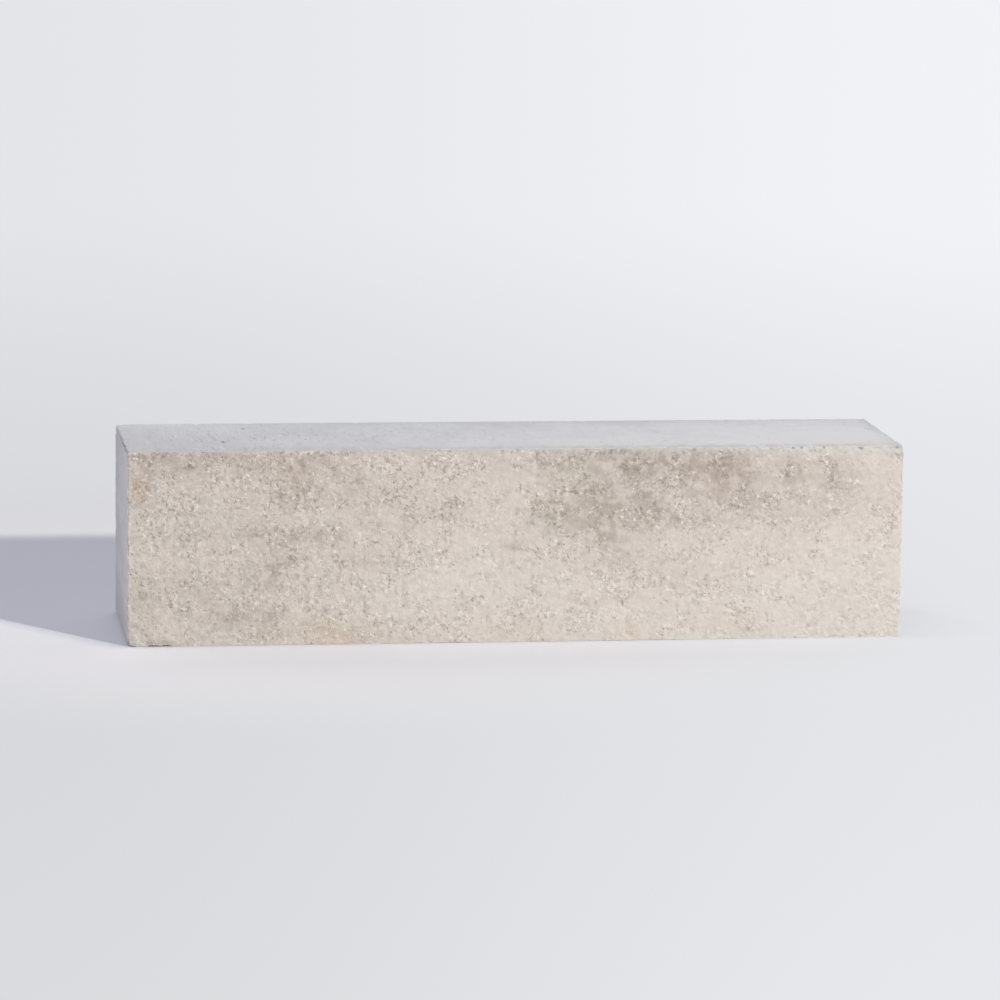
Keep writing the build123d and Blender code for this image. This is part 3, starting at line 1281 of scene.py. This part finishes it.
        noise = SolidNoise(Seed.RIM_BORDER)
        ragged = noise.layered(skin.points, self.rim_ragged_size, self.rim_ragged_layers) - 0.5
        attributes = {"facing": facing} | self.face_numbers(ragged) | self.side_numbers(ragged)
        used_here = ("face_tone", "side_tone_and_shade", "end_foot_shade")
        face_tone, side_tone_and_shade, end_foot_shade = (attributes.pop(name) for name in used_here)
        # Painted shade: darker where the skin is sunk or chipped, on the face's top arris and low on the
        # left end.
        sunk = relief + chipped * (self.side_chip_share + (1 - self.side_chip_share) * facing)
        deepest = np.percentile(face_depth - face_depth.min(), self.deep_percentile)
        top_arris = (2 * np.clip(skin.normals[:, 1:] * (-1, 1), 0, 1).prod(axis=-1)) ** 2
        painted_shade = sunk / deepest + self.top_arris_shade_share * top_arris + self.end_foot_shade_share * end_foot_shade
        # On the sides, the cloud number also carries the left end's painted shade.
        attributes["cloud"] = facing * face_tone + (1 - facing) * side_tone_and_shade
        attributes["painted_shade"] = np.clip(painted_shade, 0, self.most_painted_shade)
        return places, attributes

    def mesh(self) -> bpy.types.Mesh:
        """Puts the worn skin, its flat map and its attributes into a mesh.

        The underside isn't smoothed, so that the face's normals don't turn down at its lower edge.
        """
        places, attributes = self.numbers()
        patches = self.skin.patches
        corners = np.concatenate([patch.faces.ravel() for patch in patches])
        sizes = np.concatenate([np.full(len(patch.faces), patch.faces.shape[1]) for patch in patches])
        smooth = [np.full(len(patch.faces), patch.panel is not Panel.BOTTOM) for patch in patches]
        shares = self.shares(self.skin.sharp)
        flat = np.concatenate([patch.panel.flat(shares[patch.faces.ravel()]) for patch in patches])
        made = bpy.data.meshes.new("cast_block")
        made.vertices.add(len(places))
        made.loops.add(len(corners))
        made.polygons.add(len(sizes))
        made.vertices.foreach_set("co", places.astype(np.float32).ravel())
        made.loops.foreach_set("vertex_index", corners.astype(np.int32))
        made.polygons.foreach_set("loop_start", (np.cumsum(sizes) - sizes).astype(np.int32))
        made.update(calc_edges=True)
        made.uv_layers.new(name="OFBake").data.foreach_set("uv", flat.astype(np.float32).ravel())
        for name, values in attributes.items():
            carried = made.attributes.new(name, "FLOAT", "POINT")
            carried.data.foreach_set("value", values.astype(np.float32))
        made.validate(clean_customdata=False)
        made.polygons.foreach_set("use_smooth", np.concatenate(smooth))
        made.update()
        return made

    def build(self) -> bpy.types.Object:
        """Makes the block's object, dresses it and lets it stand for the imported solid."""
        made = bpy.data.objects.new("cast_block", self.mesh())
        bpy.context.scene.collection.objects.link(made)
        made.data.materials.append(self.finish.material())
        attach(made, BODY)
        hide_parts(NODE)
        triangles = sum(len(polygon.vertices) - 2 for polygon in made.data.polygons)
        LOG.info("%s: %d vertices, %d triangles", made.name, len(made.data.vertices), triangles)
        return made


@dataclass(frozen=True)
class PhotoCamera:
    """The camera that sees the block from the photograph's place."""

    place: Triple = (-0.53133, -3.84135, 0.7118)
    pitch: float = math.radians(8.987)
    yaw: float = math.radians(7.81)
    roll: float = math.radians(0.67)
    focal_pixels: float = 5027.7
    image_width: float = 1000.0
    sensor_width: float = 36.0
    farthest: float = 100.0

    def build(self) -> bpy.types.Object:
        """Makes the camera: its axes come from yaw to the right, pitch downwards and roll."""
        ahead = Vector((
            math.sin(self.yaw) * math.cos(self.pitch),
            math.cos(self.yaw) * math.cos(self.pitch),
            -math.sin(self.pitch),
        ))
        level = Vector((math.cos(self.yaw), -math.sin(self.yaw), 0.0))
        upright = level.cross(ahead)
        right = math.cos(self.roll) * level + math.sin(self.roll) * upright
        up = math.cos(self.roll) * upright - math.sin(self.roll) * level
        lens = bpy.data.cameras.new("photo_camera")
        lens.sensor_width = self.sensor_width
        lens.lens = self.focal_pixels / self.image_width * self.sensor_width
        lens.clip_end = self.farthest
        made = bpy.data.objects.new("photo_camera", lens)
        turn = Matrix((right, up, -ahead)).transposed().to_4x4()
        made.matrix_world = Matrix.Translation(Vector(self.place)) @ turn
        bpy.context.scene.collection.objects.link(made)
        bpy.context.scene.camera = made
        LOG.info("%s: lens %.1f mm", made.name, lens.lens)
        return made


@dataclass(frozen=True)
class Studio:
    """A plain pale floor, a soft key lamp from the front right, and cool light from all round."""

    floor_half: float = 30.0
    floor_drop: float = 0.05 * MM
    floor_colour: Colour = srgb(226, 226, 228)
    bounce_colour: Colour = srgb(143, 143, 145)
    glow_colour: Colour = srgb(236, 236, 240)
    glow_near: Pair = (-0.055, -0.075)
    glow_far: Pair = (-0.16, -0.075)
    glow_side: Pair = (0.36, 0.26)
    shade_colour: Colour = srgb(209, 210, 217)
    shade_left: Pair = (-0.30, -0.075)
    shade_right: Pair = (0.30, 0.075)
    shade_normal: Pair = (0.81, 0.586)
    shade_edge: float = 0.02
    shade_front: Pair = (-0.085, -0.07)
    shade_back: Pair = (0.47, 0.43)
    near_colour: Colour = srgb(222, 223, 226)
    far_colour: Colour = srgb(235, 236, 239)
    far_range: Pair = (0.2, 3.5)
    fade_centre: Triple = (-0.16, 0.17, 0.0)
    fade_range: Pair = (0.30, 0.62)
    side_light: float = 0.065
    side_from: Pair = (-0.53, -3.84)
    side_slope: float = 0.137
    side_reach: float = 0.11
    side_range: Pair = (24.0, 8.0)
    key_from: Triple = (0.556, -0.768, 0.334)
    key_aim: Triple = (-0.3, 0.0, 0.075)
    key_distance: float = 5.2
    key_width: float = 0.195
    key_power: float = 250.0
    key_colour: Colour = (1.0, 0.98, 0.93)
    fill_colour: Colour = (0.98, 0.972, 1.04)
    fill_level: float = 0.67
    fill_left: float = 0.60
    fill_back: float = 0.40

    @staticmethod
    def seen(graph: Graph) -> Signal:
        """1 for rays that show the backdrop itself, straight or through a shiny or clear surface."""
        camera = graph.add("ShaderNodeLightPath", {}, {}, "Is Camera Ray")
        mirrored, clear = camera.other("Is Glossy Ray"), camera.other("Is Transmission Ray")
        return camera.maths("MAXIMUM", mirrored).maths("MAXIMUM", clear)

    def past(self, across: Signal, along: Signal, corner: Pair) -> Signal:
        """Distance past the line that the key lamp draws on the floor from one of the block's corners."""
        return (across - corner[0]) * self.shade_normal[0] + (along - corner[1]) * self.shade_normal[1]

    def near_floor(self, graph: Graph, across: Signal, along: Signal) -> Signal:
        """Colour of the floor round the block.

        It is a little lighter before the face, which throws light on it, and a little darker where
        the block's shadow lies.

        Args:
            graph: The floor's graph.
            across: Place along X.
            along: Place along Y.

        Returns:
            The colour.
        """
        glow = along.between(*self.glow_near) * along.between(*self.glow_far)
        glow = glow * across.maths("ABSOLUTE").between(*self.glow_side)
        shade = along.between(*self.shade_front) * along.between(*self.shade_back)
        shade = shade * self.past(across, along, self.shade_left).between(-self.shade_edge, 0.0)
        shade = shade * self.past(across, along, self.shade_right).between(self.shade_edge, 0.0)
        return graph.coated(self.floor_colour, (glow, self.glow_colour), (shade, self.shade_colour))

    def far_floor(self, graph: Graph, place: Signal, across: Signal, along: Signal) -> Signal:
        """Colour of the far floor.

        It grows lighter with the distance and from left to right, by the slope of the line from a
        place far before the block. The farthest parts have one colour with the backdrop, so that
        no horizon shows.

        Args:
            graph: The floor's graph.
            place: Object coordinates.
            across: Place along X.
            along: Place along Y.

        Returns:
            The colour.
        """
        away = graph.vector("LENGTH", {0: place}, "Value")
        colour = graph.mix(away.between(*self.far_range), self.near_colour, self.far_colour)
        slope = (across - self.side_from[0]) / (along - self.side_from[1]) - self.side_slope
        rightward = slope.between(-self.side_reach, self.side_reach) * 2 - 1
        return graph.brightened(colour, 1 + rightward * away.between(*self.side_range) * self.side_light)

    def floor_paint(self) -> bpy.types.Material:
        """Makes the floor's material: lit round the block, and fading to the backdrop's colour."""
        paint = bpy.data.materials.new("pale_floor")
        paint.use_nodes = True
        graph = Graph(paint.node_tree)
        seen, place = self.seen(graph), graph.place()
        across, along, _ = graph.parts(place)
        colour = graph.mix(seen, self.bounce_colour, self.near_floor(graph, across, along))
        distant = self.far_floor(graph, place, across, along)
        near = graph.add("ShaderNodeBsdfDiffuse", {}, {"Color": colour})
        far = graph.add("ShaderNodeEmission", {}, {"Color": distant, "Strength": 1.0})
        share = graph.distance(place, self.fade_centre).between(*self.fade_range) * seen
        surface = graph.add("ShaderNodeMixShader", {}, {0: share, 1: near, 2: far})
        graph.add("ShaderNodeOutputMaterial", {}, {"Surface": surface})
        return paint

    def floor(self) -> bpy.types.Object:
        """Makes the floor, a plain square."""
        half = self.floor_half
        corners = [(-half, -half), (half, -half), (half, half), (-half, half)]
        sheet = bpy.data.meshes.new("floor")
        sheet.from_pydata([(x, y, -self.floor_drop) for x, y in corners], [], [(0, 1, 2, 3)])
        made = bpy.data.objects.new("floor", sheet)
        bpy.context.scene.collection.objects.link(made)
        made.data.materials.append(self.floor_paint())
        LOG.info("%s: half side %.1f m", made.name, half)
        return made

    def key(self) -> bpy.types.Object:
        """Makes the round key lamp, which is aimed at the block's left end."""
        lamp = bpy.data.lights.new("key_lamp", "AREA")
        lamp.shape = "DISK"
        lamp.size = self.key_width
        lamp.energy = self.key_power
        lamp.color = self.key_colour
        made = bpy.data.objects.new("key_lamp", lamp)
        direction = Vector(self.key_from).normalized()
        made.location = Vector(self.key_aim) + direction * self.key_distance
        made.rotation_mode = "QUATERNION"
        made.rotation_quaternion = direction.to_track_quat("Z", "Y")
        bpy.context.scene.collection.objects.link(made)
        LOG.info("%s: %.0f W", made.name, lamp.energy)
        return made

    def surround(self) -> bpy.types.World:
        """Makes the world: cool light that grows to the left and to the back.

        The light's level is a constant plus a share of the direction's leftward and backward parts.
        A ray that shows the backdrop sees the far floor's colour instead.
        """
        world = bpy.data.worlds.new("studio")
        bpy.context.scene.world = world
        world.use_nodes = True
        graph = Graph(world.node_tree)
        right, back, _ = graph.parts(graph.add("ShaderNodeTexCoord", {}, {}, "Generated"))
        level = (self.fill_level - right * self.fill_left + back * self.fill_back).maths("MAXIMUM", 0.0)
        light = graph.brightened(self.fill_colour, level)
        colour = graph.mix(self.seen(graph), light, self.far_colour)
        surface = graph.add("ShaderNodeBackground", {}, {"Color": colour, "Strength": 1.0})
        graph.add("ShaderNodeOutputWorld", {}, {"Surface": surface})
        LOG.info("%s: fill level %.2f", world.name, self.fill_level)
        return world

    def build(self) -> None:
        """Makes the floor, the lamp and the world."""
        self.floor()
        self.key()
        self.surround()


def main() -> None:
    """Builds the camera, the studio and the block in order."""
    logging.basicConfig(level=logging.INFO, format="%(name)s: %(message)s")
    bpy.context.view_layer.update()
    bpy.context.scene.view_settings.view_transform = "Standard"
    PhotoCamera().build()
    Studio().build()
    low, high = (np.array(corner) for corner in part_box(NODE))
    WallBlock(low, high).build()


if __name__ == "__main__":
    main()
